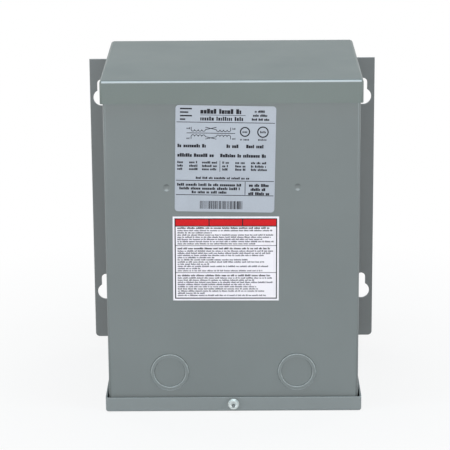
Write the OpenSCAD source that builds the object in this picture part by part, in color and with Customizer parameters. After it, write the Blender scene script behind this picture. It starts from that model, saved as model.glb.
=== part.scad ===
// Buck-boost transformer in a wall-mounted sheet-steel enclosure.
// The case stands on its bottom cover. The front faces -Y, the wall side faces +Y, up is +Z.
// The origin is at the bottom centre of the whole object, so Z = 0 is the cover's underside.

/* [Case] */
// Width across the case, outside its two side walls
case_w = 228; // [190:1:280]
// Depth of the case, from its front face to the back plate
case_d = 187; // [150:1:240]
// Height from the underside of the bottom cover to the top of the lid
total_h = 309; // [256:1:380]
// Thickness of the sheet in the case, the lid and the bottom cover
sheet_t = 1.5; // [1:0.1:2]
// Outside radius of the bends in that sheet
bend_r = 2.4; // [2.4:0.1:5]
// Width of the two flanges that turn in against the back plate
return_w = 16; // [10:1:30]
// Width of the shallow spot-weld dimples on the front
dimple_d = 6.4; // [4:0.1:9]
// Depth of those dimples
dimple_depth = 0.8; // [0.2:0.1:1.1]
// Distance of each dimple from the centre line
dimple_x = 58.5; // [40:0.5:80]
// Distance from the underside of the lid's skirt down to the dimples
dimple_drop = 76.7; // [60:0.1:100]

/* [Lid] */
// Height of the lid's front and side skirts
lid_h = 20.8; // [14:0.1:30]
// Clearance between the front skirt and the case
lid_fit = 0.2; // [0.1:0.05:0.6]
// Gap between each of the lid's side skirts and the case's side
lid_side_fit = 0.9; // [0.2:0.1:1.5]

/* [Bottom cover] */
// Height of the cover's front lip and side flanges
cover_h = 13.8; // [11:0.1:20]
// Clearance between the lip and the case
cover_gap = 1.2; // [0.6:0.1:2]
// Gap between each of the cover's side flanges and the case's side
cover_side_gap = 1.6; // [0.6:0.1:2]
// Height of the two hooks that stand inside the back plate
hook_h = 11.5; // [6:0.5:16]
// Width of each hook
hook_w = 24; // [12:1:40]
// Distance of each hook's middle from the centre line
hook_x = 60; // [40:1:75]

/* [Back plate] */
// Thickness of the back plate
plate_t = 1.9; // [1.2:0.1:3]
// Width of each mounting ear beyond the case side
ear_w = 23.9; // [20:0.1:35]
// Height of the ears' lower ends
ear_bottom = 10; // [4:0.5:20]
// Distance from the lid's top down to the ears' upper ends
ear_drop = 17.2; // [8:0.1:30]
// Radius of the ears' lower corners
ear_r = 4; // [1:0.5:8]

/* [Keyholes] */
// Width of the round entry of each keyhole
entry_d = 16; // [13:0.5:18]
// Width of the slot that rises from the entry
slot_w = 8; // [6:0.5:9.5]
// Rise from the entry's centre to the centre of the slot's rounded end
slot_rise = 14; // [11:0.5:20]
// Distance of the keyholes from the ears' outer edges
keyhole_edge = 11.1; // [10:0.1:14]
// Height of the lower entries above the ears' lower ends
keyhole_low = 47; // [20:1:70]
// Distance of the upper entries below the ears' upper ends
keyhole_drop = 38; // [24:1:60]

/* [Knockouts] */
// Hole that is left when a knockout's slug and ring are both out
ring_d = 34.9; // [30:0.1:40]
// Hole that is left when only the slug is out
slug_d = 28.2; // [20:0.1:28.2]
// Width of the punched cut around a slug and around a ring
punch_cut = 0.2; // [0.15:0.05:0.6]
// How far a ring stands out of the sheet
ring_proud = 0.7; // [0.2:0.05:0.9]
// Width of the small tabs that hold a slug or a ring
tab_w = 3; // [2:0.5:5]
// Distance of each knockout from the centre line
knockout_x = 58; // [45:0.5:70]
// Height of the knockouts
knockout_z = 37.6; // [36:0.1:50]

/* [Cover screw] */
// Height of the screw's axis
screw_z = 7.6; // [6.5:0.1:8]
// Diameter of the screw's shank
shank_d = 4.8; // [4:0.1:5.5]
// Length of the shank under the head
shank_l = 14; // [10:1:20]
// Diameter of the washer face under the head
washer_d = 11.4; // [10:0.1:12.5]
// Thickness of the washer face
washer_t = 0.9; // [0.6:0.1:1.5]
// Width across the flats of the hexagon
hex_af = 8; // [7:0.1:9]
// Height of the hexagon over the washer face
hex_h = 2.8; // [2:0.1:5]
// Width of the dished hollow in the hexagon's end
dish_d = 5.4; // [3:0.1:6]
// Depth of that hollow
dish_depth = 1; // [0.4:0.1:1.5]
// Clearance around the shank in the lip and in the case
shank_clear = 0.6; // [0.3:0.1:1]
// Clearance around the shank in the weld nut's thread
thread_fit = 0.1; // [0.05:0.05:0.2]
// Width of the square weld nut behind the case front
nut_w = 10; // [8:0.5:10.5]
// Thickness of the weld nut
nut_t = 5; // [3:0.5:7]

/* [Labels] */
// Thickness of both labels
label_t = 0.25; // [0.1:0.05:0.5]
// Width of the upper label, the rating plate
rating_w = 89; // [70:1:110]
// Height of the rating plate
rating_h = 97; // [80:1:105]
// Corner radius of the rating plate
rating_r = 3; // [1:0.5:6]
// How far the rating plate leans clockwise, seen from the front
rating_tilt = 1.2; // [0:0.1:2]
// Distance from the lid's skirt to the rating plate
rating_gap = 2.2; // [1.8:0.1:8]
// Width of the lower label, the notice
notice_w = 95.4; // [70:0.1:100]
// Height of the notice
notice_h = 78.7; // [60:0.1:80]
// How far the notice leans clockwise, seen from the front
notice_tilt = 0.3; // [0:0.1:1]
// Distance between the two labels
notice_gap = 4.3; // [3:0.1:10]
// Distance of the labels' middle to the left of the centre line
label_x = 6; // [0:0.5:12]

/* [Potted core] */
// Height of the wiring space under the potted core
wiring_h = 92; // [70:1:110]
// Gap between the potted core and the lid
core_gap = 8; // [3:1:20]

/* [Hidden] */

$fn = 64;
// A cut runs this far past the face it opens
over = 1;
// Running gap left between curved faces
hairline = 0.05;

head_out = washer_t + hex_h;
depth_all = head_out + sheet_t + cover_gap + case_d + plate_t;

// Faces of the enclosure along Y, from the wall forward
rear_y = depth_all / 2;
plate_y = rear_y - plate_t;
case_y = plate_y - case_d;
lid_y = case_y - lid_fit - sheet_t;
lip_y = case_y - cover_gap - sheet_t;

lid_w = case_w + 2 * (lid_side_fit + sheet_t);
cover_w = case_w + 2 * (cover_side_gap + sheet_t);
inner_r = bend_r - sheet_t;

// The case stops where the bends of the lid and of the cover begin
case_bottom = bend_r;
case_top = total_h - bend_r;
skirt_bottom = total_h - lid_h;

ear_top = total_h - ear_drop;
plate_w = case_w + 2 * ear_w;
neck_w = lid_w - 2 * bend_r;
keyhole_x = plate_w / 2 - keyhole_edge;
lower_keyhole_z = ear_bottom + keyhole_low;
upper_keyhole_z = ear_top - keyhole_drop;

dimple_ball_r = (pow(dimple_d / 2, 2) + pow(dimple_depth, 2)) / (2 * dimple_depth);
dish_ball_r = (pow(dish_d / 2, 2) + pow(dish_depth, 2)) / (2 * dish_depth);

rating_z = skirt_bottom - rating_gap - rating_h / 2;
notice_z = rating_z - rating_h / 2 - notice_gap - notice_h / 2;

paint = [0.51, 0.54, 0.54];
lid_paint = [0.53, 0.57, 0.59];
plate_paint = [0.46, 0.48, 0.48];

// A flat outline with four rounded corners, centred on the origin
module rounded_outline(width, height, radius) {
    square([width - 2 * radius, height], center = true);
    square([width, height - 2 * radius], center = true);
    for (side_x = [-1, 1])
        for (side_y = [-1, 1])
            translate([side_x * (width / 2 - radius), side_y * (height / 2 - radius)])
                circle(r = radius);
}

// A block whose top, front and sides meet in rounds. Its rear and underside are square.
// X is centred, the front is at Y = 0 and the underside at Z = 0.
module rounded_block(width, depth, height, radius) {
    straight_w = width - 2 * radius;
    straight_h = height - radius;
    straight_d = depth - radius;
    translate([-straight_w / 2, radius, 0])
        cube([straight_w, straight_d, height]);
    translate([-width / 2, radius, 0])
        cube([width, straight_d, straight_h]);
    translate([-straight_w / 2, 0, 0])
        cube([straight_w, depth, straight_h]);
    translate([-straight_w / 2, radius, straight_h])
        rotate([0, 90, 0])
            cylinder(r = radius, h = straight_w);
    for (side = [-1, 1])
        translate([side * straight_w / 2, radius, 0]) {
            cylinder(r = radius, h = straight_h);
            translate([0, 0, straight_h]) {
                sphere(r = radius);
                rotate([-90, 0, 0])
                    cylinder(r = radius, h = straight_d);
            }
        }
}

// A folded pan, open below and at the rear, whose sheet runs on over the back plate
module pan(width, depth, height) {
    difference() {
        rounded_block(width, depth, height, bend_r);
        translate([0, sheet_t, -over])
            rounded_block(width - 2 * sheet_t, depth + over, height - sheet_t + over, inner_r);
    }
    translate([-(width - 2 * bend_r) / 2, depth - over, height - sheet_t])
        cube([width - 2 * bend_r, plate_t + over, sheet_t]);
}

// The hole that a knockout's ring fills, through the sheet whose outer face is at Y = 0
module knockout_hole(thickness) {
    translate([0, thickness + over, 0])
        rotate([90, 0, 0])
            cylinder(d = ring_d, h = thickness + 2 * over);
}

// A punched disc with two tabs that reach out to the edge of its hole
module punched_disc(hole_d, thickness, tab_angle) {
    rotate([-90, 0, 0]) {
        cylinder(d = hole_d - 2 * punch_cut, h = thickness);
        intersection() {
            cylinder(d = hole_d - 2 * hairline, h = thickness);
            rotate([0, 0, tab_angle])
                translate([-hole_d / 2, -tab_w / 2, 0])
                    cube([hole_d, tab_w, thickness]);
        }
    }
}

module knockout_ring(thickness, stand_out) {
    translate([0, -stand_out, 0])
        difference() {
            punched_disc(ring_d, thickness, 0);
            translate([0, thickness + over, 0])
                rotate([90, 0, 0])
                    cylinder(d = slug_d, h = thickness + 2 * over);
        }
}

module knockout_slug(thickness) {
    punched_disc(slug_d, thickness, 45);
}

// Puts a knockout's piece in the case front, or in the back plate facing the wall
module on_front(side) {
    translate([side * knockout_x, case_y, knockout_z])
        children();
}

module on_rear(side) {
    translate([side * knockout_x, rear_y, knockout_z])
        rotate([0, 0, 180])
            children();
}

// A round cut along Y, centred on the screw's axis
module screw_cut(diameter, from_y, length) {
    translate([0, from_y, screw_z])
        rotate([-90, 0, 0])
            cylinder(d = diameter, h = length);
}

module case_outline() {
    middle_y = case_y + case_d / 2;
    difference() {
        translate([0, middle_y])
            rounded_outline(case_w, case_d, bend_r);
        translate([0, middle_y])
            rounded_outline(case_w - 2 * sheet_t, case_d - 2 * sheet_t, inner_r);
        translate([-(case_w / 2 - return_w), plate_y - sheet_t - over])
            square([case_w - 2 * return_w, sheet_t + 2 * over]);
    }
}

module case_wrap() {
    color(paint)
        difference() {
            translate([0, 0, case_bottom])
                linear_extrude(case_top - case_bottom)
                    case_outline();
            for (side = [-1, 1]) {
                on_front(side)
                    knockout_hole(sheet_t);
                translate([side * dimple_x, case_y - dimple_ball_r + dimple_depth, skirt_bottom - dimple_drop])
                    sphere(r = dimple_ball_r);
            }
            screw_cut(shank_d + 2 * shank_clear, case_y - over, sheet_t + 2 * over);
        }
}

module lid() {
    color(lid_paint)
        translate([0, lid_y, skirt_bottom])
            pan(lid_w, plate_y - lid_y, lid_h);
}

module bottom_cover() {
    color(paint) {
        difference() {
            translate([0, lip_y, cover_h])
                mirror([0, 0, 1])
                    pan(cover_w, plate_y - lip_y, cover_h);
            screw_cut(shank_d + 2 * shank_clear, lip_y - over, sheet_t + 2 * over);
        }
        for (side = [-1, 1])
            translate([side * hook_x - hook_w / 2, plate_y - hairline - sheet_t, 0])
                cube([hook_w, sheet_t, hook_h]);
    }
}

module keyhole() {
    translate([0, plate_y - over, 0])
        rotate([-90, 0, 0])
            cylinder(d = entry_d, h = plate_t + 2 * over);
    translate([0, plate_y - over, slot_rise])
        rotate([-90, 0, 0])
            cylinder(d = slot_w, h = plate_t + 2 * over);
    translate([-slot_w / 2, plate_y - over, 0])
        cube([slot_w, plate_t + 2 * over, slot_rise]);
}

module back_plate() {
    color(plate_paint)
        difference() {
            union() {
                translate([-neck_w / 2, plate_y, sheet_t])
                    cube([neck_w, plate_t, total_h - 2 * sheet_t]);
                translate([-plate_w / 2, plate_y, ear_bottom + ear_r])
                    cube([plate_w, plate_t, ear_top - ear_bottom - ear_r]);
                translate([-plate_w / 2 + ear_r, plate_y, ear_bottom])
                    cube([plate_w - 2 * ear_r, plate_t, ear_r + over]);
                for (side = [-1, 1])
                    translate([side * (plate_w / 2 - ear_r), plate_y, ear_bottom + ear_r])
                        rotate([-90, 0, 0])
                            cylinder(r = ear_r, h = plate_t);
            }
            for (side = [-1, 1]) {
                on_rear(side)
                    knockout_hole(plate_t);
                for (entry_z = [lower_keyhole_z, upper_keyhole_z])
                    translate([side * keyhole_x, 0, entry_z])
                        keyhole();
            }
        }
}

// The windings and laminations, cast solid into the upper part of the case
module potted_core() {
    core_d = case_d - 2 * sheet_t;
    core_top = total_h - sheet_t - core_gap;
    color([0.13, 0.13, 0.13])
        translate([0, case_y + sheet_t + core_d / 2, wiring_h])
            linear_extrude(core_top - wiring_h)
                rounded_outline(case_w - 2 * sheet_t, core_d, bend_r);
}

// Hexagon washer-head screw, with its axis along Y
module cover_screw() {
    hex_corner_d = hex_af / cos(30);
    color([0.78, 0.80, 0.80])
        translate([0, lip_y, screw_z]) {
            rotate([-90, 0, 0])
                cylinder(d = shank_d, h = shank_l);
            difference() {
                rotate([90, 0, 0]) {
                    cylinder(d = washer_d, h = washer_t);
                    intersection() {
                        cylinder(d = hex_corner_d, h = head_out, $fn = 6);
                        cylinder(r1 = hex_corner_d / 2 + head_out, r2 = hex_af / 2, h = head_out);
                    }
                }
                translate([0, -head_out - dish_ball_r + dish_depth, 0])
                    sphere(r = dish_ball_r);
            }
        }
}

module weld_nut() {
    color([0.70, 0.70, 0.66])
        difference() {
            translate([-nut_w / 2, case_y + sheet_t, screw_z - nut_w / 2])
                cube([nut_w, nut_t, nut_w]);
            screw_cut(shank_d + 2 * thread_fit, case_y, sheet_t + nut_t + over);
        }
}

// A label on the case front, leaning clockwise about its middle
module front_label(middle_z, tilt) {
    translate([-label_x, case_y, middle_z])
        rotate([0, tilt, 0])
            rotate([90, 0, 0])
                linear_extrude(label_t)
                    children();
}

module rating_plate() {
    color([0.76, 0.78, 0.84])
        front_label(rating_z, rating_tilt)
            rounded_outline(rating_w, rating_h, rating_r);
}

module notice_label() {
    color([0.93, 0.93, 0.94])
        front_label(notice_z, notice_tilt)
            square([notice_w, notice_h], center = true);
}

module front_knockout_ring(side) {
    color(paint)
        on_front(side)
            knockout_ring(sheet_t, ring_proud);
}

module front_knockout_slug(side) {
    color(paint)
        on_front(side)
            knockout_slug(sheet_t);
}

// The rear rings stand into the case, so that the back plate lies flat on the wall
module rear_knockout_ring(side) {
    color(plate_paint)
        on_rear(side)
            knockout_ring(plate_t, -ring_proud);
}

module rear_knockout_slug(side) {
    color(plate_paint)
        on_rear(side)
            knockout_slug(plate_t);
}

case_wrap();
lid();
back_plate();
bottom_cover();
potted_core();
cover_screw();
weld_nut();
rating_plate();
notice_label();
front_knockout_ring(-1);  // front_left_knockout_ring
front_knockout_slug(-1);  // front_left_knockout_slug
front_knockout_ring(1);  // front_right_knockout_ring
front_knockout_slug(1);  // front_right_knockout_slug
rear_knockout_ring(-1);  // rear_left_knockout_ring
rear_knockout_slug(-1);  // rear_left_knockout_slug
rear_knockout_ring(1);  // rear_right_knockout_ring
rear_knockout_slug(1);  // rear_right_knockout_slug
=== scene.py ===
"""Looks of a wall-mounted buck-boost transformer: enamelled sheet steel, a zinc-plated screw and two
printed labels, on a pale floor in plain white surroundings."""

import math
import random

import bmesh
import bpy
from mathutils import Matrix, Vector


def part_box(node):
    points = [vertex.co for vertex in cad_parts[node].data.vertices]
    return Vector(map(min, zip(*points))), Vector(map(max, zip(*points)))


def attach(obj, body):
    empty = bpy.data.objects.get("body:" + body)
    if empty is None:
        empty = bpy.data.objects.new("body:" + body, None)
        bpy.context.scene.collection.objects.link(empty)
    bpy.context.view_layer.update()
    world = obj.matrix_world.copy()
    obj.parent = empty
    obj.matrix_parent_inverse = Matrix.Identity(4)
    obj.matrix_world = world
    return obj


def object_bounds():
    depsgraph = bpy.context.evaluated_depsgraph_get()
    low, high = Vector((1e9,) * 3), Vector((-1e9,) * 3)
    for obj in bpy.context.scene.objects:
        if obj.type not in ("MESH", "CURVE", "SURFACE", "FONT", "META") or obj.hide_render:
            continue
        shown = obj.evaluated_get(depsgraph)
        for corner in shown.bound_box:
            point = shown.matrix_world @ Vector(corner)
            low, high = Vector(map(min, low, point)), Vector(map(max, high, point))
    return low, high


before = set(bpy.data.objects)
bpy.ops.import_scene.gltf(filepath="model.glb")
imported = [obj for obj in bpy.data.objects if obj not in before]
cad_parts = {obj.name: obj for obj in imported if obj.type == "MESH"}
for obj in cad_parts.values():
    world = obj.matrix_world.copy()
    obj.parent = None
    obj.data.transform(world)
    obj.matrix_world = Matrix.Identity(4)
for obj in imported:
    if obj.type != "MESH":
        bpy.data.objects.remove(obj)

bl_info = {
    "name": "Buck-boost transformer looks",
    "version": (1, 0, 0),
    "blender": (4, 5, 0),
    "location": "3D View > Sidebar > Transformer",
    "description": "Finishes, prints and stages a wall-mounted transformer case",
    "category": "Object",
}

MM = 0.001
BODY = "root"
NEUTRAL_WHITE = (1, 1, 1, 1)
CAD_BOX = [list(corner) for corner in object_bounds()]

SIDES = ("left", "right")


# ---------------------------------------------------------------- settings

def colour_setting(name, description, default):
    """A colour as it looks on a screen, which linear() turns into the shader's own numbers."""
    return bpy.props.FloatVectorProperty(
        name=name, description=description, default=default, size=3, min=0, max=1, subtype="COLOR_GAMMA")


def length_setting(name, description, default):
    return bpy.props.FloatProperty(
        name=name, description=description, default=default, min=0, unit="LENGTH", subtype="DISTANCE")


def share_setting(name, description, default):
    return bpy.props.FloatProperty(
        name=name, description=description, default=default, min=0, max=1, subtype="FACTOR")


def angle_setting(name, description, degrees):
    return bpy.props.FloatProperty(
        name=name, description=description, default=math.radians(degrees), subtype="ANGLE")


def power_setting(name, description, default):
    return bpy.props.FloatProperty(name=name, description=description, default=default, min=0, unit="POWER")


class EnamelSettings(bpy.types.PropertyGroup):
    """Colours and surface of the grey enamel on the sheet steel."""

    case: colour_setting("Case", "Enamel on the case and its knockouts", (0.485, 0.510, 0.510))
    lid: colour_setting("Lid", "Enamel on the lid", (0.468, 0.503, 0.492))
    plate: colour_setting("Back plate", "Enamel on the back plate", (0.510, 0.520, 0.520))
    cover: colour_setting("Bottom cover", "Enamel on the bottom cover", (0.528, 0.552, 0.554))
    # Pale edges: thin enamel, with a painted highlight where they face up.
    edge: colour_setting("Edges", "Thin enamel and painted highlight along edges that face up", (0.760, 0.795, 0.800))
    # Painted highlight along bends, lightest on the lid's front bend.
    bend: colour_setting("Bends", "Painted highlight on bends that lean up and forwards", (0.830, 0.855, 0.865))
    roughness: share_setting("Roughness", "Roughness of the clean enamel", 0.36)
    peel: length_setting("Orange peel", "Depth of the enamel's orange peel", 0.006 * MM)
    edge_round: length_setting("Edge round", "Round that the enamel leaves on a cut edge", 0.3 * MM)


class LabelSettings(bpy.types.PropertyGroup):
    """Films and inks of the two labels."""

    rating_film: colour_setting("Rating film", "Satin silver film", (0.655, 0.683, 0.722))
    notice_film: colour_setting("Notice film", "White film", (0.950, 0.935, 0.960))
    ink: colour_setting("Ink", "Dark ink on both labels", (0.10, 0.10, 0.13))
    fine_ink: colour_setting("Fine ink", "Ink of the fine rows on the notice", (0.22, 0.22, 0.27))
    band: colour_setting("Band", "Band across the top of the notice", (0.82, 0.08, 0.11))
    ink_depth: length_setting("Ink depth", "How far the ink stands on the film", 0.02 * MM)
    rating_tilt: angle_setting("Rating tilt", "Clockwise lean of the rating plate", 1.2)
    notice_tilt: angle_setting("Notice tilt", "Clockwise lean of the notice", 0.3)


class StageSettings(bpy.types.PropertyGroup):
    """Camera, lamps and floor."""

    lens: bpy.props.FloatProperty(
        name="Lens", description="Focal length on a 36 mm sensor", default=170.56, min=20,
        subtype="DISTANCE_CAMERA")
    distance: length_setting("Distance", "Camera's distance along Y from the object's middle", 1.9314)
    height: length_setting("Height", "Camera's height", 0.6883)
    aside: length_setting("Aside", "Camera's distance to the right of the middle", 0.0067)
    pitch: angle_setting("Pitch", "Camera's tilt down", 15.535)
    turn: angle_setting("Turn", "Camera's turn to the left", 0.414)
    roll: angle_setting("Roll", "Camera's roll to the right", 0.430)
    sky: bpy.props.FloatProperty(
        name="Sky", description="Strength of the plain white sky", default=0.38, min=0)
    key: power_setting("Front lamp", "Power of the broad lamp in front", 19)
    fill: power_setting("Side lamps", "Power of each soft lamp at the sides", 8)
    top: power_setting("Strip lamp", "Power of the long lamp overhead", 6)
    rear: power_setting("Rear lamps", "Power of each soft lamp behind", 9)
    top_tint: colour_setting("Strip tint", "Cool cast of the long lamp overhead", (0.74, 0.92, 1.0))


# ---------------------------------------------------------------- node helpers

def linear(colour):
    """A screen colour as scene-linear RGBA."""
    def channel(value):
        return value / 12.92 if value <= 0.04045 else ((value + 0.055) / 1.055) ** 2.4
    return (*(channel(value) for value in colour), 1.0)


class Graph:
    """A node tree with short ways to add a node and to link it."""

    # A Mix node names its sockets alike for every data type, so the colour ones go by number.
    COLOUR_A, COLOUR_B, COLOUR_RESULT = 6, 7, 2
    # What noise mostly stays within
    NOISE_LOW, NOISE_HIGH = 0.3, 0.7

    def __init__(self, tree):
        self.tree = tree

    def add(self, kind, settings=None, **inputs):
        """A node whose inputs, named with _ for a space, are values or other nodes' outputs."""
        node = self.tree.nodes.new(kind)
        for name, value in (settings or {}).items():
            setattr(node, name, value)
        for name, value in inputs.items():
            self.feed(node.inputs[name.replace("_", " ")], value)
        return node

    def feed(self, socket, value):
        if isinstance(value, bpy.types.NodeSocket):
            self.tree.links.new(value, socket)
        else:
            socket.default_value = value

    def math(self, operation, *values):
        return self.chain("ShaderNodeMath", operation, values).outputs["Value"]

    def product(self, *values):
        """All the values multiplied together."""
        result = values[0]
        for value in values[1:]:
            result = self.math("MULTIPLY", result, value)
        return result

    def vector(self, operation, *values):
        """A vector operation. LENGTH and DOT_PRODUCT give a number."""
        outputs = self.chain("ShaderNodeVectorMath", operation, values).outputs
        return outputs["Value" if operation in ("LENGTH", "DOT_PRODUCT") else "Vector"]

    def chain(self, kind, operation, values):
        node = self.tree.nodes.new(kind)
        node.operation = operation
        for socket, value in zip(node.inputs, values):
            self.feed(socket, value)
        return node

    def ramp(self, value, low, high, to_low=0.0, to_high=1.0):
        """value from low..high to to_low..to_high, held at both ends."""
        node = self.tree.nodes.new("ShaderNodeMapRange")
        for socket, number in zip(node.inputs, (value, low, high, to_low, to_high)):
            self.feed(socket, number)
        return node.outputs[0]

    def band(self, value, start, full, fading, gone):
        """1 where value lies between full and fading, down to 0 at start and at gone."""
        return self.product(self.ramp(value, start, full), self.ramp(value, gone, fading))

    def mix(self, share, first, second, blend="MIX"):
        node = self.tree.nodes.new("ShaderNodeMix")
        node.data_type = "RGBA"
        node.blend_type = blend
        self.feed(node.inputs["Factor"], share)
        self.feed(node.inputs[self.COLOUR_A], first)
        self.feed(node.inputs[self.COLOUR_B], second)
        return node.outputs[self.COLOUR_RESULT]

    def grey(self, value):
        node = self.tree.nodes.new("ShaderNodeCombineColor")
        for socket in node.inputs:
            self.feed(socket, value)
        return node.outputs[0]

    def noise(self, place, scale, detail=2.0, roughness=0.5):
        """Noise between 0 and 1, with about scale blotches to the metre."""
        node = self.add("ShaderNodeTexNoise", Vector=place, Scale=scale, Detail=detail, Roughness=roughness)
        return node.outputs["Fac"]

    def blotches(self, place, scale, low, high, detail=2.0):
        """Noise stretched so that it mostly fills low..high, and never leaves it."""
        return self.ramp(self.noise(place, scale, detail), self.NOISE_LOW, self.NOISE_HIGH, low, high)

    def cells(self, place, scale):
        """Distance to the nearest cell's middle, with about scale cells to the metre."""
        return self.add("ShaderNodeTexVoronoi", Vector=place, Scale=scale).outputs["Distance"]

    def coordinate(self, name):
        return self.add("ShaderNodeTexCoord").outputs[name]

    def parts(self, vector):
        """The X, Y and Z outputs of a vector."""
        return self.add("ShaderNodeSeparateXYZ", Vector=vector).outputs

    def bump(self, shader, height, depth):
        """Gives a shader its relief."""
        relief = self.add("ShaderNodeBump", Height=height, Distance=depth)
        self.feed(shader.inputs["Normal"], relief.outputs["Normal"])


def new_group(name, inputs, outputs):
    """An empty shader group. inputs are (name, kind, default) and outputs are (name, kind)."""
    tree = bpy.data.node_groups.new(name, "ShaderNodeTree")
    for socket_name, kind, default in inputs:
        socket = tree.interface.new_socket(socket_name, in_out="INPUT", socket_type=kind)
        socket.default_value = default
    for socket_name, kind in outputs:
        tree.interface.new_socket(socket_name, in_out="OUTPUT", socket_type=kind)
    graph = Graph(tree)
    return graph, graph.add("NodeGroupInput").outputs, graph.add("NodeGroupOutput").inputs


def enamel_group():
    """Sprayed enamel: cloudy, speckled paint with pale edges of thin enamel and painted highlight,
    a painted highlight on bends, painted shade on undersides, an uneven gloss and orange peel."""
    if "Enamel" in bpy.data.node_groups:
        return bpy.data.node_groups["Enamel"]
    graph, given, result = new_group(
        "Enamel",
        [("Paint", "NodeSocketColor", (0.2, 0.2, 0.2, 1)),
         ("Edge", "NodeSocketColor", (0.4, 0.4, 0.4, 1)),
         ("Bend", "NodeSocketColor", (0.6, 0.6, 0.6, 1)),
         ("Edge Width", "NodeSocketFloat", 0.0008),
         ("Edge Share", "NodeSocketFloat", 0.5),
         ("Bend Share", "NodeSocketFloat", 0.3),
         ("Under Share", "NodeSocketFloat", 0.3),
         ("Roughness", "NodeSocketFloat", 0.4)],
        [("Color", "NodeSocketColor"), ("Roughness", "NodeSocketFloat"), ("Height", "NodeSocketFloat")])
    place = graph.coordinate("Object")
    clouds = graph.blotches(place, 11.0, 0.965, 1.035, detail=3.0)
    speckle = graph.blotches(place, 1500.0, 0.985, 1.015, detail=1.0)
    painted = graph.mix(1.0, given["Paint"], graph.grey(graph.product(clouds, speckle)), "MULTIPLY")

    # Near an edge the bevelled normal leaves the true one, and their product drops below 1.
    away_from_edges, on_an_edge = 0.998, 0.93
    bevelled = graph.add("ShaderNodeBevel", {"samples": 6}, Radius=given["Edge Width"]).outputs["Normal"]
    true_normal = graph.add("ShaderNodeNewGeometry").outputs["Normal"]
    near_edge = graph.ramp(graph.vector("DOT_PRODUCT", bevelled, true_normal), away_from_edges, on_an_edge)
    broken = graph.ramp(graph.noise(place, 260.0, 4.0, 0.6), 0.35, 0.6, 0.55, 1.0)
    # Only edges that face up turn pale: thin enamel, and a painted highlight as if lit from above.
    to_own = {"vector_type": "NORMAL", "convert_from": "WORLD", "convert_to": "OBJECT"}
    own_bevelled = graph.add("ShaderNodeVectorTransform", to_own, Vector=bevelled).outputs["Vector"]
    facing_up = graph.ramp(graph.parts(own_bevelled)["Z"], -0.12, 0.15, 0.15, 1.0)
    edge_wear_and_highlight = graph.product(near_edge, broken, given["Edge Share"], facing_up)

    # On a flat face the object's own normal is level or upright, and on a bend it lies in between.
    own_normal = graph.parts(graph.coordinate("Normal"))
    lean = own_normal["Z"]
    leaning_up = graph.band(lean, 0.1, 0.35, 0.78, 0.92)
    leaning_down = graph.band(lean, -0.1, -0.35, -0.85, -0.97)
    not_aside = graph.ramp(graph.product(own_normal["X"], own_normal["X"]), 0.01, 0.09, 1.0, 0.0)
    # Bends that lean up and forwards get a painted highlight.
    bend_highlight = graph.product(leaning_up, not_aside, given["Bend Share"])
    # Bends that lean down get painted shade, a near-black share of the colour.
    painted_shade = graph.product(leaning_down, given["Under Share"])

    colour = graph.mix(painted_shade, painted, (0.02, 0.02, 0.02, 1))
    colour = graph.mix(edge_wear_and_highlight, colour, given["Edge"])
    graph.feed(result["Color"], graph.mix(bend_highlight, colour, given["Bend"]))

    unevenness = graph.ramp(graph.noise(place, 18.0), 0.2, 0.8, -0.025, 0.045)
    graph.feed(result["Roughness"], graph.math("ADD", given["Roughness"], unevenness))

    peel = graph.noise(place, 620.0, 2.0, 0.45)
    grain = graph.product(graph.noise(place, 2600.0, 1.0), 0.25)
    graph.feed(result["Height"], graph.math("ADD", peel, grain))
    return graph.tree


def film_group():
    """Label film or a coat of ink: faint mottling in its tone and its gloss, and a slight waviness."""
    if "Label film" in bpy.data.node_groups:
        return bpy.data.node_groups["Label film"]
    graph, given, result = new_group(
        "Label film",
        [("Film", "NodeSocketColor", (0.6, 0.6, 0.7, 1)),
         ("Mottle", "NodeSocketFloat", 0.03),
         ("Roughness", "NodeSocketFloat", 0.35)],
        [("Color", "NodeSocketColor"), ("Roughness", "NodeSocketFloat"), ("Height", "NodeSocketFloat")])
    place = graph.coordinate("Object")
    fine = graph.blotches(place, 900.0, -1.0, 1.0)
    broad = graph.blotches(place, 30.0, -1.0, 1.0)
    swing = graph.product(graph.math("ADD", fine, broad), given["Mottle"])
    tone = graph.grey(graph.math("ADD", swing, 1.0))
    graph.feed(result["Color"], graph.mix(1.0, given["Film"], tone, "MULTIPLY"))
    graph.feed(result["Roughness"], graph.math("MULTIPLY_ADD", broad, 0.04, given["Roughness"]))
    graph.feed(result["Height"], graph.noise(place, 160.0))
    return graph.tree


def new_material(name):
    """A new material, with its node graph and its Principled shader."""
    material = bpy.data.materials.new(name)
    material.use_nodes = True
    return material, Graph(material.node_tree), material.node_tree.nodes["Principled BSDF"]


def surface(name, group, values, bump_depth, **constants):
    """A material whose colour, roughness and relief come from a group, with constants on the shader."""
    material, graph, shader = new_material(name)
    effect = graph.add("ShaderNodeGroup", {"node_tree": group})
    for socket, value in values.items():
        graph.feed(effect.inputs[socket], value)
    graph.feed(shader.inputs["Base Color"], effect.outputs["Color"])
    graph.feed(shader.inputs["Roughness"], effect.outputs["Roughness"])
    graph.bump(shader, effect.outputs["Height"], bump_depth)
    for socket, value in constants.items():
        shader.inputs[socket.replace("_", " ")].default_value = value
    return material


# ---------------------------------------------------------------- finishes

def enamel(name, paint, edge_share=0.55, bend_share=0.4, painted_shade_share=0.45, edge_width=0.9 * MM):
    """Enamel in one colour, with the shares that its pale edges, the painted highlight on its bends and the
    painted shade on its undersides take.
    """
    settings = bpy.context.scene.transformer_enamel
    values = {
        "Paint": linear(paint),
        "Edge": linear(settings.edge),
        "Bend": linear(settings.bend),
        "Edge Width": edge_width,
        "Edge Share": edge_share,
        "Bend Share": bend_share,
        "Under Share": painted_shade_share,
        "Roughness": settings.roughness,
    }
    return surface(name, enamel_group(), values, settings.peel, Specular_IOR_Level=0.22)


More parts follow.
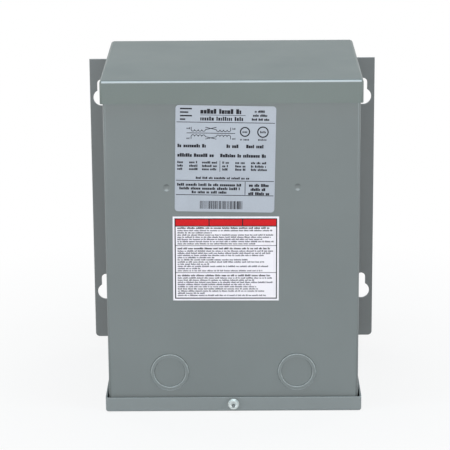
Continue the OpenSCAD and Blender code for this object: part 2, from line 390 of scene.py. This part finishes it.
def round_shade(graph, place, x, z, inner, outer, inner_shade, outer_shade):
    """A painted shade that changes from one radius to another round an axis along Y through x and z."""
    from_axis = graph.vector("SUBTRACT", place, (x, 0, z))
    across = graph.vector("MULTIPLY", from_axis, (1, 0, 1))
    return graph.ramp(graph.vector("LENGTH", across), inner, outer, inner_shade, outer_shade)


def bright_steel(name, tint, roughness, zones=()):
    """Bright steel or zinc, with faint crystals and a bluish cast. A zone holds what round_shade
    takes after place, and its painted shade darkens the metal."""
    material, graph, shader = new_material(name)
    shader.inputs["Metallic"].default_value = 1.0
    place = graph.coordinate("Object")
    cast = graph.ramp(graph.noise(place, 420.0, 3.0), 0.35, 0.7)
    bluish = (tint[0] * 0.94, tint[1] * 0.975, tint[2])
    metal = graph.mix(cast, linear(tint), linear(bluish))
    for zone in zones:
        metal = graph.mix(1.0, metal, graph.grey(round_shade(graph, place, **zone)), "MULTIPLY")
    graph.feed(shader.inputs["Base Color"], metal)
    sheen = graph.ramp(graph.cells(place, 900.0), 0.0, 0.8, roughness - 0.06, roughness + 0.08)
    graph.feed(shader.inputs["Roughness"], sheen)
    graph.bump(shader, graph.noise(place, 1800.0), 0.01 * MM)
    return material


def sanded_resin(name):
    """Potting resin filled with sand: dark, matt and gritty."""
    material, graph, shader = new_material(name)
    place = graph.coordinate("Object")
    grains = graph.ramp(graph.cells(place, 1100.0), 0.12, 0.3, 1.0, 0.0)
    resin, grit = linear((0.13, 0.13, 0.13)), linear((0.36, 0.33, 0.29))
    graph.feed(shader.inputs["Base Color"], graph.mix(grains, resin, grit))
    graph.feed(shader.inputs["Roughness"], graph.blotches(place, 80.0, 0.5, 0.8, detail=3.0))
    graph.bump(shader, grains, 0.15 * MM)
    return material


def film(name, colour, mottle, roughness, waviness, **constants):
    """Label film in one colour, with waves of a given depth."""
    values = {"Film": linear(colour), "Mottle": mottle, "Roughness": roughness}
    return surface(name, film_group(), values, waviness, **constants)


def ink_material(name, colour):
    """Screen ink: slightly uneven cover and a dull gloss."""
    return film(name, colour, mottle=0.06, roughness=0.45, waviness=0.002 * MM, Specular_IOR_Level=0.2)


def paint_node(node_name, material):
    """Gives a CAD node its finish."""
    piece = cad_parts[node_name]
    piece.data.materials.clear()
    piece.data.materials.append(material)


def soften_edges(node_name, width):
    """Rounds a CAD node's sharp edges with modifiers, which leave its mesh as it is."""
    same_point, flat_within, sharp_from = 0.002 * MM, math.radians(0.5), math.radians(40)
    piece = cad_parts[node_name]
    weld = piece.modifiers.new("Joined faces", "WELD")
    weld.merge_threshold = same_point
    flats = piece.modifiers.new("Whole flats", "DECIMATE")
    flats.decimate_type = "DISSOLVE"
    flats.angle_limit = flat_within
    edges = piece.modifiers.new("Soft edges", "BEVEL")
    edges.width = width
    edges.segments = 2
    edges.limit_method = "ANGLE"
    edges.angle_limit = sharp_from
    edges.harden_normals = True


# ---------------------------------------------------------------- print on the labels

class Label:
    """A label's own plane: u runs right and v down, both in millimetres from its top left corner."""

    def __init__(self, node_name, tilt, corner):
        """Finds the label's size from its box, which is wider and higher because the label leans.
        corner is the radius of its corners in millimetres."""
        low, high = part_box(node_name)
        cosine, sine = math.cos(tilt), math.sin(tilt)
        box_w = (high.x - low.x) / MM - 2 * corner
        box_h = (high.z - low.z) / MM - 2 * corner
        cosine_of_double = cosine ** 2 - sine ** 2
        self.width = (box_w * cosine - box_h * sine) / cosine_of_double + 2 * corner
        self.height = (box_h * cosine - box_w * sine) / cosine_of_double + 2 * corner
        middle = (low + high) / 2
        self.matrix = Matrix((
            (cosine, 0, sine, middle.x),
            (0, 1, 0, low.y),
            (-sine, 0, cosine, middle.z),
            (0, 0, 0, 1)))

    def point(self, u, v, lift):
        """A point on the film, lifted off it towards the front."""
        local = Vector(((u - self.width / 2) * MM, -lift, (self.height / 2 - v) * MM))
        return self.matrix @ local


class Print:
    """Flat shapes of one ink on a label, in millimetres, gathered into one thin solid mesh."""

    RING_SIDES = 28
    # Fewest and most blocks in a word of dummy text
    WORD_LENGTHS = (2, 8)
    # A block's pitch and a low block's drop, as shares of the row's height
    PITCH, DROP = 0.62, 0.24
    # Least and most of a block's usual width
    NARROWEST, WIDEST = 0.6, 1.15
    # Gap between words as a share of the pitch, and what is added to each gap between blocks
    WORD_GAP, EXTRA_GAP = 0.8, 0.08
    # Chance that a block takes the row's full height
    TALL_CHANCE = 0.35

    def __init__(self, label, depth):
        self.label = label
        self.depth = depth
        self.mesh = bmesh.new()

    def shape(self, outline):
        """A closed outline of (u, v) points, which run clockwise on the label."""
        back = [self.mesh.verts.new(self.label.point(u, v, 0.0)) for u, v in outline]
        front = [self.mesh.verts.new(self.label.point(u, v, self.depth)) for u, v in outline]
        self.mesh.faces.new(list(reversed(front)))
        self.mesh.faces.new(back)
        for i in range(len(outline)):
            j = (i + 1) % len(outline)
            self.mesh.faces.new((front[i], front[j], back[j], back[i]))

    def bar(self, left, top, right, bottom):
        self.shape([(left, top), (right, top), (right, bottom), (left, bottom)])

    def rule(self, left, right, v, weight):
        self.bar(left, v - weight / 2, right, v + weight / 2)

    def upright(self, u, top, bottom, weight):
        self.bar(u - weight / 2, top, u + weight / 2, bottom)

    def frame(self, left, top, right, bottom, weight):
        """Four bars round a box, which meet without lying on each other."""
        self.bar(left, top, right, top + weight)
        self.bar(left, bottom - weight, right, bottom)
        self.bar(left, top + weight, left + weight, bottom - weight)
        self.bar(right - weight, top + weight, right, bottom - weight)

    def ring(self, u, v, radius, weight):
        turns = [math.tau * step / self.RING_SIDES for step in range(self.RING_SIDES + 1)]
        self.stroke([(u + radius * math.sin(turn), v - radius * math.cos(turn)) for turn in turns], weight)

    def stroke(self, points, weight):
        """A line of even weight along an open run of points."""
        outer, inner = [], []
        for i, (u, v) in enumerate(points):
            before, after = points[max(i - 1, 0)], points[min(i + 1, len(points) - 1)]
            run = Vector((after[0] - before[0], after[1] - before[1])).normalized() * weight / 2
            outer.append((u + run.y, v - run.x))
            inner.append((u - run.y, v + run.x))
        for i in range(len(points) - 1):
            self.shape([outer[i], outer[i + 1], inner[i + 1], inner[i]])

    def text_row(self, rng, left, right, top, height, weight=0.72):
        """A row of dummy text: words of plain upright blocks, with no letter among them. weight is
        the usual share of a block's pitch that its width takes."""
        pitch = height * self.PITCH
        u = left
        while u + pitch < right:
            for _ in range(rng.randint(*self.WORD_LENGTHS)):
                width = pitch * weight * rng.uniform(self.NARROWEST, self.WIDEST)
                if u + width > right:
                    return
                drop = 0.0 if rng.random() < self.TALL_CHANCE else height * self.DROP
                self.bar(u, top + drop, u + width, top + height)
                u += width + pitch * (1 - weight) + self.EXTRA_GAP
            u += pitch * self.WORD_GAP

    def finish(self, name, material):
        """Makes the gathered shapes one piece, which rides on the body."""
        data = bpy.data.meshes.new(name)
        bmesh.ops.recalc_face_normals(self.mesh, faces=self.mesh.faces)
        self.mesh.to_mesh(data)
        self.mesh.free()
        piece = bpy.data.objects.new(name, data)
        bpy.context.scene.collection.objects.link(piece)
        data.materials.append(material)
        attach(piece, BODY)


def winding(ink, left, right, axis, towards_core, weight):
    """One coil of a winding diagram: a row of half-round humps that reach towards the core line."""
    humps, steps = 4, 8
    radius = (right - left) / humps / 2
    turns = [math.pi * step / steps for step in range(steps + 1)]
    for hump in range(humps):
        middle = left + radius * (2 * hump + 1)
        ink.stroke([(middle - radius * math.cos(turn), axis + towards_core * radius * math.sin(turn))
                    for turn in turns], weight)


def winding_diagram(ink, left, right, core):
    """Two windings over and two under a core line, with crossed leads between each pair."""
    weight, core_overhang, coil_share = 0.6, 4, 0.36
    coil_to_core, lead = 3.2, 2.2
    middle = (left + right) / 2
    coil = (right - left) * coil_share
    ink.rule(left - core_overhang, right + core_overhang, core, weight)
    for towards_core in (1, -1):
        axis = core - towards_core * coil_to_core
        outside = axis - towards_core * lead
        winding(ink, left, left + coil, axis, towards_core, weight)
        winding(ink, right - coil, right, axis, towards_core, weight)
        for end in (left, right):
            ink.stroke([(end, axis), (end, outside)], weight)
        for lean in (1, -1):
            inner_end = middle - lean * ((right - left) / 2 - coil)
            ink.stroke([(inner_end, axis), (2 * middle - inner_end, outside)], weight)


def bar_pattern(ink, rng, left, right, top, bottom):
    """Upright bars and gaps of random width, of which the narrowest is the likeliest."""
    module = 0.35
    u = left
    while u < right:
        width = rng.choice((module, module, 2 * module, 3 * module))
        ink.bar(u, top, min(u + width, right), bottom)
        u += width + rng.choice((module, module, 2 * module))


# ---------------------------------------------------------------- operators

class FinishCase(bpy.types.Operator):
    """Sprays the case, lid, back plate, bottom cover and knockouts with grey enamel"""

    bl_idname = "transformer.finish_case"
    bl_label = "Finish the sheet metal"

    def execute(self, context):
        settings = context.scene.transformer_enamel
        case = enamel("Body_enamel", settings.case)
        plate = enamel("Plate_enamel", settings.plate)
        paint_node("case_wrap", case)
        # Each part's shares set how much painted highlight its up-facing edges and bends take, and how much
        # painted shade its undersides take.
        paint_node("lid", enamel(
            "Lid_enamel", settings.lid, edge_share=0.45, bend_share=0.85, painted_shade_share=0.2))
        paint_node("back_plate", plate)
        paint_node("bottom_cover", enamel(
            "Cover_enamel", settings.cover, edge_share=0.6, bend_share=0.2, painted_shade_share=0.0))
        front = {
            "ring": enamel("Ring_enamel", settings.case, edge_share=1.0, bend_share=1.0,
                           painted_shade_share=0.6, edge_width=1.7 * MM),
            "slug": enamel("Slug_enamel", settings.case, edge_share=0.0, bend_share=0.0,
                           painted_shade_share=0.6),
        }
        rear = {"ring": plate, "slug": plate}
        for end, paints in (("front", front), ("rear", rear)):
            for side in SIDES:
                for part, paint in paints.items():
                    node_name = f"{end}_{side}_knockout_{part}"
                    paint_node(node_name, paint)
                    soften_edges(node_name, settings.edge_round)
        for node_name in ("case_wrap", "lid", "back_plate", "bottom_cover"):
            soften_edges(node_name, settings.edge_round)
        return {"FINISHED"}


class FinishFixings(bpy.types.Operator):
    """Gives the cover screw its bright zinc and the weld nut its plain steel"""

    bl_idname = "transformer.finish_fixings"
    bl_label = "Finish the screw and nut"

    def execute(self, context):
        low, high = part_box("cover_screw")
        x, z = (low.x + high.x) / 2, (low.z + high.z) / 2
        # Painted shade: a dark dish in the screw head, set low as if shadowed from above, and a darker
        # washer rim.
        dish_shade = {"x": x, "z": z - 0.8 * MM, "inner": 1.3 * MM, "outer": 2.2 * MM,
                     "inner_shade": 0.2, "outer_shade": 1.0}
        rim_shade = {"x": x, "z": z, "inner": 4.7 * MM, "outer": 5.1 * MM,
                    "inner_shade": 1.0, "outer_shade": 0.45}
        zinc = bright_steel("Bright_zinc", (0.79, 0.815, 0.81), 0.28, (dish_shade, rim_shade))
        paint_node("cover_screw", zinc)
        paint_node("weld_nut", bright_steel("Plain_steel", (0.60, 0.60, 0.57), 0.45))
        soften_edges("cover_screw", 0.25 * MM)
        return {"FINISHED"}


class FinishCore(bpy.types.Operator):
    """Gives the potted core its sand-filled resin"""

    bl_idname = "transformer.finish_core"
    bl_label = "Finish the potted core"

    def execute(self, context):
        paint_node("potted_core", sanded_resin("Sanded_resin"))
        return {"FINISHED"}


class PrintRatingPlate(bpy.types.Operator):
    """Gives the rating plate its satin film and prints rules, dummy text, a winding diagram and bars"""

    bl_idname = "transformer.print_rating_plate"
    bl_label = "Print the rating plate"

    CORNER, EDGE = 3.0, 1.0

    def execute(self, context):
        settings = context.scene.transformer_labels
        paint_node("rating_plate", film(
            "Silver_film", settings.rating_film, mottle=0.025, roughness=0.36, waviness=0.02 * MM,
            Metallic=0.25))
        label = Label("rating_plate", settings.rating_tilt, self.CORNER)
        ink = Print(label, settings.ink_depth)
        rng = random.Random(11)
        self.print_heading(ink, rng)
        self.print_diagram(ink, rng)
        self.print_ratings(ink, rng)
        self.print_foot(ink, rng)
        ink.finish("rating_print", ink_material("Dark_ink", settings.ink))
        return {"FINISHED"}

    def full_rule(self, ink, v):
        """A rule across the whole label."""
        ink.rule(self.EDGE, ink.label.width - self.EDGE, v, 0.6)

    def print_heading(self, ink, rng):
        """A mark of four plain bars, two rows of large text and three of small text."""
        mark_left, mark_width, mark_bar = 4.0, 10.6, 1.3
        for top, share in ((2.4, 1.0), (5.6, 0.7), (8.8, 1.0), (12.0, 0.45)):
            ink.bar(mark_left, top, mark_left + mark_width * share, top + mark_bar)
        left, right = 22.0, 62.0
        ink.text_row(rng, left, right, 3.0, 4.4, 0.9)
        ink.rule(left, right, 8.6, 0.45)
        ink.text_row(rng, left, right, 10.0, 3.6, 0.8)
        for top, inset in ((3.8, 2.5), (7.4, 1.0), (11.0, 0.0)):
            ink.text_row(rng, 67.5 + inset, 83.0 - inset, top, 2.1, 0.95)
        self.full_rule(ink, 15.2)

    def print_diagram(self, ink, rng):
        """The winding diagram with its four end labels, and two plain rings with a word in each."""
        winding_diagram(ink, 14.0, 49.0, 25.0)
        for u in (10.0, 50.5):
            for v in (20.0, 29.0):
                ink.text_row(rng, u, u + 3.4, v, 1.6)
        for u, radius in ((61.7, 4.0), (77.6, 4.6)):
            ink.ring(u, 23.4, radius, 1.1)
            ink.text_row(rng, u - radius * 0.55, u + radius * 0.6, 22.4, 2.0, 0.8)
            ink.text_row(rng, u - 4.2, u + 4.4, 29.4, 1.9)

    def print_ratings(self, ink, rng):
        """Two rows of bold text, and a small table of two halves."""
        bold_rows = ((35.0, ((2.0, 29.0), (45.5, 56.5), (63.0, 80.0))),
                     (43.6, ((2.0, 35.5), (40.0, 81.0))))
        for top, runs in bold_rows:
            for left, right in runs:
                ink.text_row(rng, left, right, top, 3.2, 0.92)
        columns = ((2.0, 8.0), (12.5, 21.0), (24.0, 38.0), (42.0, 48.0), (53.5, 63.0), (67.5, 82.0))
        for top in (50.6, 53.8, 56.8):
            for left, right in columns:
                ink.text_row(rng, left, right, top, 2.1, 0.9)
        ink.upright(39.9, 50.0, 60.0, 0.5)
        ink.text_row(rng, 18.5, 67.0, 64.8, 2.1, 0.9)

    def print_foot(self, ink, rng):
        """Two ruled boxes of text, side by side, over a row of upright bars."""
        self.full_rule(ink, 68.4)
        for left, right, top in ((2.0, 60.0, 70.9), (4.0, 58.5, 74.3), (15.0, 47.0, 77.7)):
            ink.text_row(rng, left, right, top, 2.5, 0.9)
        ink.upright(62.6, 69.0, 81.0, 0.6)
        for left, right, top in ((66.0, 84.0, 70.8), (67.5, 82.0, 74.6), (65.5, 84.5, 78.4)):
            ink.text_row(rng, left, right, top, 2.7, 0.95)
        self.full_rule(ink, 81.6)
        bar_pattern(ink, rng, 22.5, 60.5, 87.0, 94.4)


class PrintNotice(bpy.types.Operator):
    """Gives the notice its white film, frame, plain colour band and rows of dummy text"""

    bl_idname = "transformer.print_notice"
    bl_label = "Print the notice"

    BORDER, WEIGHT = 1.7, 0.95
    BAND_BOTTOM, BAND_CELLS = 8.4, 3
    # Each section's top, and the share of the width that each of its fine rows takes
    SECTIONS = ((9.9, (0.98, 0.36, 0.99, 0.97, 0.88, 1.0, 0.82)),
                (29.0, (0.99, 0.97, 0.90, 0.38, 0.74, 0.90, 0.33, 0.94, 0.24, 0.88)),
                (54.3, (0.98, 0.80, 1.0, 0.76, 0.82, 0.84, 0.90, 0.28, 0.92)))
    HEADING_HEIGHT, ROW_HEIGHT, ROW_PITCH = 1.7, 1.35, 2.05
    HEADING_SHARE, TEXT_INDENT, RULE_ABOVE = 0.96, 1.6, 1.9

    def execute(self, context):
        settings = context.scene.transformer_labels
        paint_node("notice_label", film(
            "White_film", settings.notice_film, mottle=0.012, roughness=0.3, waviness=0.015 * MM))
        label = Label("notice_label", settings.notice_tilt, 0.0)
        dark = Print(label, settings.ink_depth)
        fine = Print(label, settings.ink_depth)
        band = Print(label, settings.ink_depth)
        self.print_frame(dark, band)
        self.print_sections(dark, fine, random.Random(23))
        dark.finish("notice_frame_print", ink_material("Notice_ink", settings.ink))
        fine.finish("notice_text_print", ink_material("Fine_ink", settings.fine_ink))
        band.finish("notice_band_print", ink_material("Band_ink", settings.band))
        return {"FINISHED"}

    def inside(self, label):
        """The left and right of the space inside the frame."""
        margin = self.BORDER + self.WEIGHT
        return margin, label.width - margin

    def print_frame(self, dark, band):
        """A frame, and a colour band in cells along its top."""
        label = dark.label
        left, right = self.inside(label)
        top = self.BORDER + self.WEIGHT
        dark.frame(self.BORDER, self.BORDER, label.width - self.BORDER, label.height - self.BORDER,
                   self.WEIGHT)
        dark.rule(left, right, self.BAND_BOTTOM + self.WEIGHT / 2, self.WEIGHT)
        cell = (right - left) / self.BAND_CELLS
        for number in range(self.BAND_CELLS):
            start = left + cell * number + (self.WEIGHT / 2 if number else 0)
            end = left + cell * (number + 1) - (self.WEIGHT / 2 if number < self.BAND_CELLS - 1 else 0)
            band.bar(start, top, end, self.BAND_BOTTOM)
            if number:
                dark.upright(left + cell * number, top, self.BAND_BOTTOM, self.WEIGHT)

    def print_sections(self, dark, fine, rng):
        """Sections of dummy text, each with a dark first row, and a rule between each two."""
        left, right = self.inside(dark.label)
        start, full = left + self.TEXT_INDENT, right - left - 2 * self.TEXT_INDENT
        for section, (top, rows) in enumerate(self.SECTIONS):
            if section:
                dark.rule(left, right, top - self.RULE_ABOVE, 0.5)
            heading_end = start + full * self.HEADING_SHARE
            dark.text_row(rng, start, heading_end, top - 0.1, self.HEADING_HEIGHT, 0.9)
            for number, share in enumerate(rows, 1):
                row_top = top + self.ROW_PITCH * number + 0.4
                fine.text_row(rng, start, start + full * share, row_top, self.ROW_HEIGHT, 0.88)


def soft_lamp(name, place, target, width, height, power, colour=NEUTRAL_WHITE):
    """A rectangular lamp that faces its target."""
    lamp = bpy.data.lights.new(name, "AREA")
    lamp.shape = "RECTANGLE"
    lamp.size, lamp.size_y = width, height
    lamp.energy = power
    lamp.color = colour[:3]
    piece = bpy.data.objects.new(name, lamp)
    piece.location = place
    direction = Vector(target) - piece.location
    piece.rotation_euler = direction.to_track_quat("-Z", "Y").to_euler()
    bpy.context.scene.collection.objects.link(piece)


def seen_as_white(graph, lighting, white, share=1.0):
    """Mixes a lighting shader with a share of one that camera, glossy and transmission rays see."""
    path = graph.add("ShaderNodeLightPath").outputs
    seen = graph.math("MAXIMUM", path["Is Camera Ray"], path["Is Glossy Ray"])
    seen = graph.math("MAXIMUM", seen, path["Is Transmission Ray"])
    mixed = graph.add("ShaderNodeMixShader")
    graph.feed(mixed.inputs[0], graph.math("MULTIPLY", seen, share))
    graph.feed(mixed.inputs[1], lighting)
    graph.feed(mixed.inputs[2], white)
    return mixed.outputs[0]


class BuildStage(bpy.types.Operator):
    """Sets the camera, the soft lamps, the white surroundings and the pale floor"""

    bl_idname = "transformer.build_stage"
    bl_label = "Build the stage"

    def execute(self, context):
        settings = context.scene.transformer_stage
        self.camera(context.scene, settings)
        self.surroundings(context.scene, settings)
        self.lamps(settings)
        self.floor()
        context.scene.view_settings.view_transform = "Standard"
        return {"FINISHED"}

    def camera(self, scene, settings):
        """The camera in front, turned, then tilted, then rolled about its own axes."""
        data = bpy.data.cameras.new("Camera")
        data.sensor_width = 36
        data.lens = settings.lens
        camera = bpy.data.objects.new("Camera", data)
        scene.collection.objects.link(camera)
        turned = Matrix.Rotation(settings.turn, 4, "Z")
        pitched = Matrix.Rotation(math.pi / 2 - settings.pitch, 4, "X")
        rolled = Matrix.Rotation(-settings.roll, 4, "Z")
        place = Matrix.Translation((settings.aside, -settings.distance, settings.height))
        camera.matrix_world = place @ turned @ pitched @ rolled
        scene.camera = camera

    def surroundings(self, scene, settings):
        """A dim even sky, which shows as plain white."""
        world = bpy.data.worlds.new("Plain white")
        world.use_nodes = True
        scene.world = world
        world.node_tree.nodes.clear()
        graph = Graph(world.node_tree)
        light = graph.add("ShaderNodeBackground", Color=NEUTRAL_WHITE, Strength=settings.sky).outputs[0]
        white = graph.add("ShaderNodeBackground", Color=NEUTRAL_WHITE, Strength=1.0).outputs[0]
        output = graph.add("ShaderNodeOutputWorld")
        graph.feed(output.inputs["Surface"], seen_as_white(graph, light, white))

    def lamps(self, settings):
        """One broad lamp in front, two at each side, and a cool strip overhead for the bends."""
        top = (0, 0, CAD_BOX[1][2])
        middle = (0, 0, CAD_BOX[1][2] / 2)
        soft_lamp("Front_lamp", (-0.1, -2.2, 0.45), middle, 1.8, 1.2, settings.key)
        for name, side in (("Left", -1), ("Right", 1)):
            soft_lamp(f"{name}_lamp", (side * 1.5, -0.7, 0.15), middle, 0.8, 0.8, settings.fill)
            soft_lamp(f"{name}_rear_lamp", (side * 1.7, 1.5, 0.5), middle, 0.9, 0.9, settings.rear)
        soft_lamp("Strip_lamp", (0, -0.24, 1.5), top, 1.3, 0.14, settings.top, linear(settings.top_tint))

    def floor(self):
        """A wide disc just under the object. It keeps the shadow near it and turns white further out."""
        radius, sides, drop = 8.0, 96, 0.05 * MM
        shadow_reach, all_white_from, least_white = 0.15, 0.5, 0.85
        disc = bmesh.new()
        bmesh.ops.create_circle(disc, cap_ends=True, segments=sides, radius=radius)
        data = bpy.data.meshes.new("Floor")
        disc.to_mesh(data)
        disc.free()
        floor = bpy.data.objects.new("Floor", data)
        floor.location.z = CAD_BOX[0][2] - drop
        bpy.context.scene.collection.objects.link(floor)

        material, graph, shader = new_material("Pale_floor")
        shader.inputs["Roughness"].default_value = 0.9
        shader.inputs["Specular IOR Level"].default_value = 0.1
        place = graph.coordinate("Object")
        graph.feed(shader.inputs["Base Color"], graph.grey(graph.blotches(place, 3.0, 0.90, 0.92)))
        from_middle = graph.vector("LENGTH", place)
        white_share = graph.ramp(from_middle, shadow_reach, all_white_from, least_white, 1.0)
        white = graph.add("ShaderNodeEmission", Color=NEUTRAL_WHITE, Strength=1.0).outputs[0]
        output = material.node_tree.nodes["Material Output"]
        graph.feed(output.inputs["Surface"], seen_as_white(graph, shader.outputs[0], white, white_share))
        data.materials.append(material)


class TransformerPanel(bpy.types.Panel):
    """Lists the steps and their settings"""

    bl_idname = "VIEW3D_PT_transformer"
    bl_label = "Buck-boost transformer"
    bl_space_type = "VIEW_3D"
    bl_region_type = "UI"
    bl_category = "Transformer"

    def draw(self, context):
        scene = context.scene
        for title, settings in (("Enamel", scene.transformer_enamel), ("Labels", scene.transformer_labels),
                                ("Stage", scene.transformer_stage)):
            box = self.layout.box()
            box.label(text=title)
            for name in settings.__annotations__:
                box.prop(settings, name)
        for operator in OPERATORS:
            self.layout.operator(operator.bl_idname)


SETTINGS = {
    "transformer_enamel": EnamelSettings,
    "transformer_labels": LabelSettings,
    "transformer_stage": StageSettings,
}
OPERATORS = (BuildStage, FinishCase, FinishFixings, FinishCore, PrintRatingPlate, PrintNotice)


def register():
    for settings in SETTINGS.values():
        bpy.utils.register_class(settings)
    for name, settings in SETTINGS.items():
        setattr(bpy.types.Scene, name, bpy.props.PointerProperty(type=settings))
    for operator in OPERATORS:
        bpy.utils.register_class(operator)
    bpy.utils.register_class(TransformerPanel)


def unregister():
    bpy.utils.unregister_class(TransformerPanel)
    for operator in reversed(OPERATORS):
        bpy.utils.unregister_class(operator)
    for name, settings in SETTINGS.items():
        delattr(bpy.types.Scene, name)
        bpy.utils.unregister_class(settings)


def main():
    register()
    bpy.ops.transformer.build_stage()
    bpy.ops.transformer.finish_case()
    bpy.ops.transformer.finish_fixings()
    bpy.ops.transformer.finish_core()
    bpy.ops.transformer.print_rating_plate()
    bpy.ops.transformer.print_notice()


if __name__ == "__main__":
    main()
